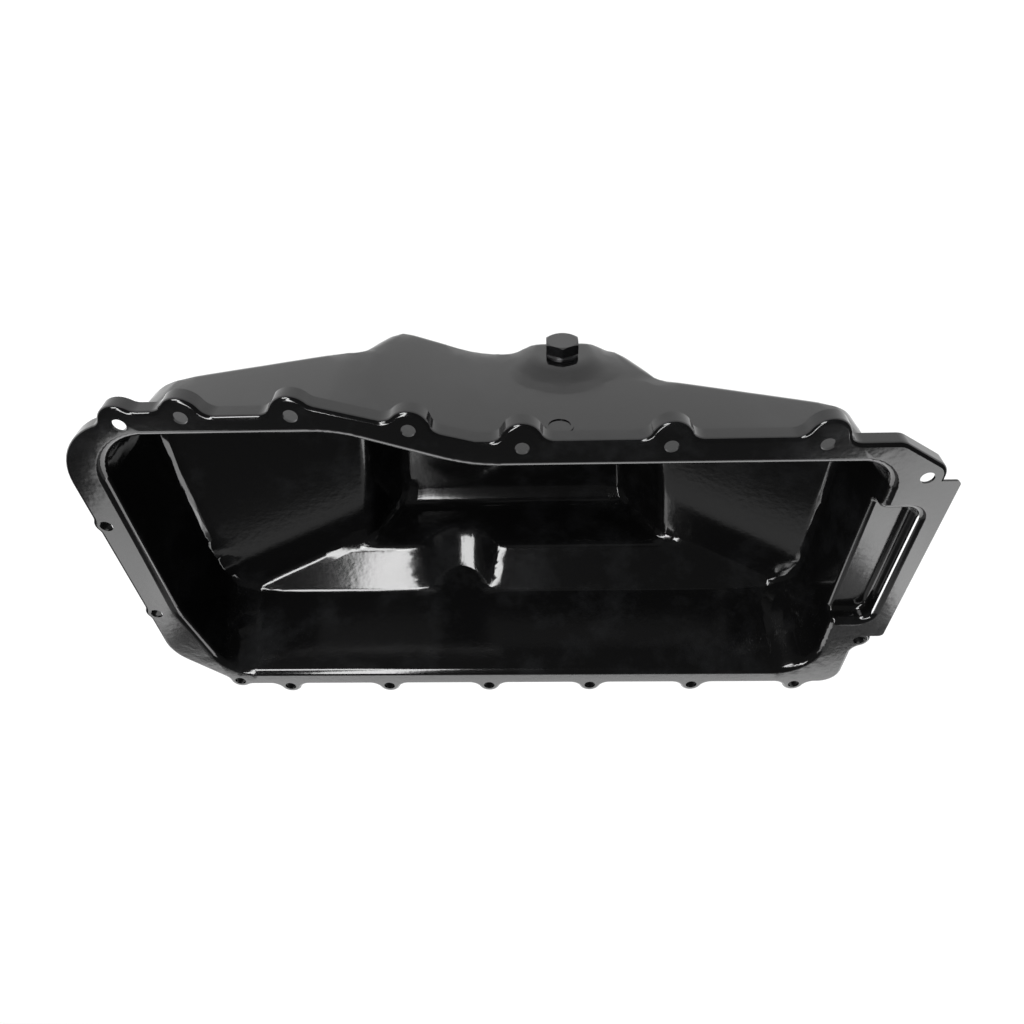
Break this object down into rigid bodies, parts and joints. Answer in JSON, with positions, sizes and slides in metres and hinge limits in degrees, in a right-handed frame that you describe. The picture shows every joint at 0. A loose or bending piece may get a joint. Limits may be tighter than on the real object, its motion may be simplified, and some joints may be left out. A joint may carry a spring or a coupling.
{
  "type": "engine oil pan",
  "caption": "Deep-drawn steel oil pan with an eared bolting flange, a deep sump between two shallow sloping ends, a half-round trough, a side pocket and a drain plug.",
  "frame": {"origin": "middle of the bounding box at its base, so that the sump's underside stands on Z = 0", "axes": "+Z out of the opening, square to the sealing face; +X along the pan, towards the end with the pocket; +Y towards the wall with the drain plug"},
  "size_m": [0.503, 0.2704, 0.1376],
  "materials": {
    "pan_paint": "gloss",
    "plug_paint": "gloss",
    "washer": "satin",
    "nut": "gloss"
  },
  "bodies": {
    "root": {"oil_pan": "pan_paint", "drain_plug": "plug_paint", "drain_plug_washer": "washer", "drain_plug_nut": "nut"}
  },
  "joints": []
}
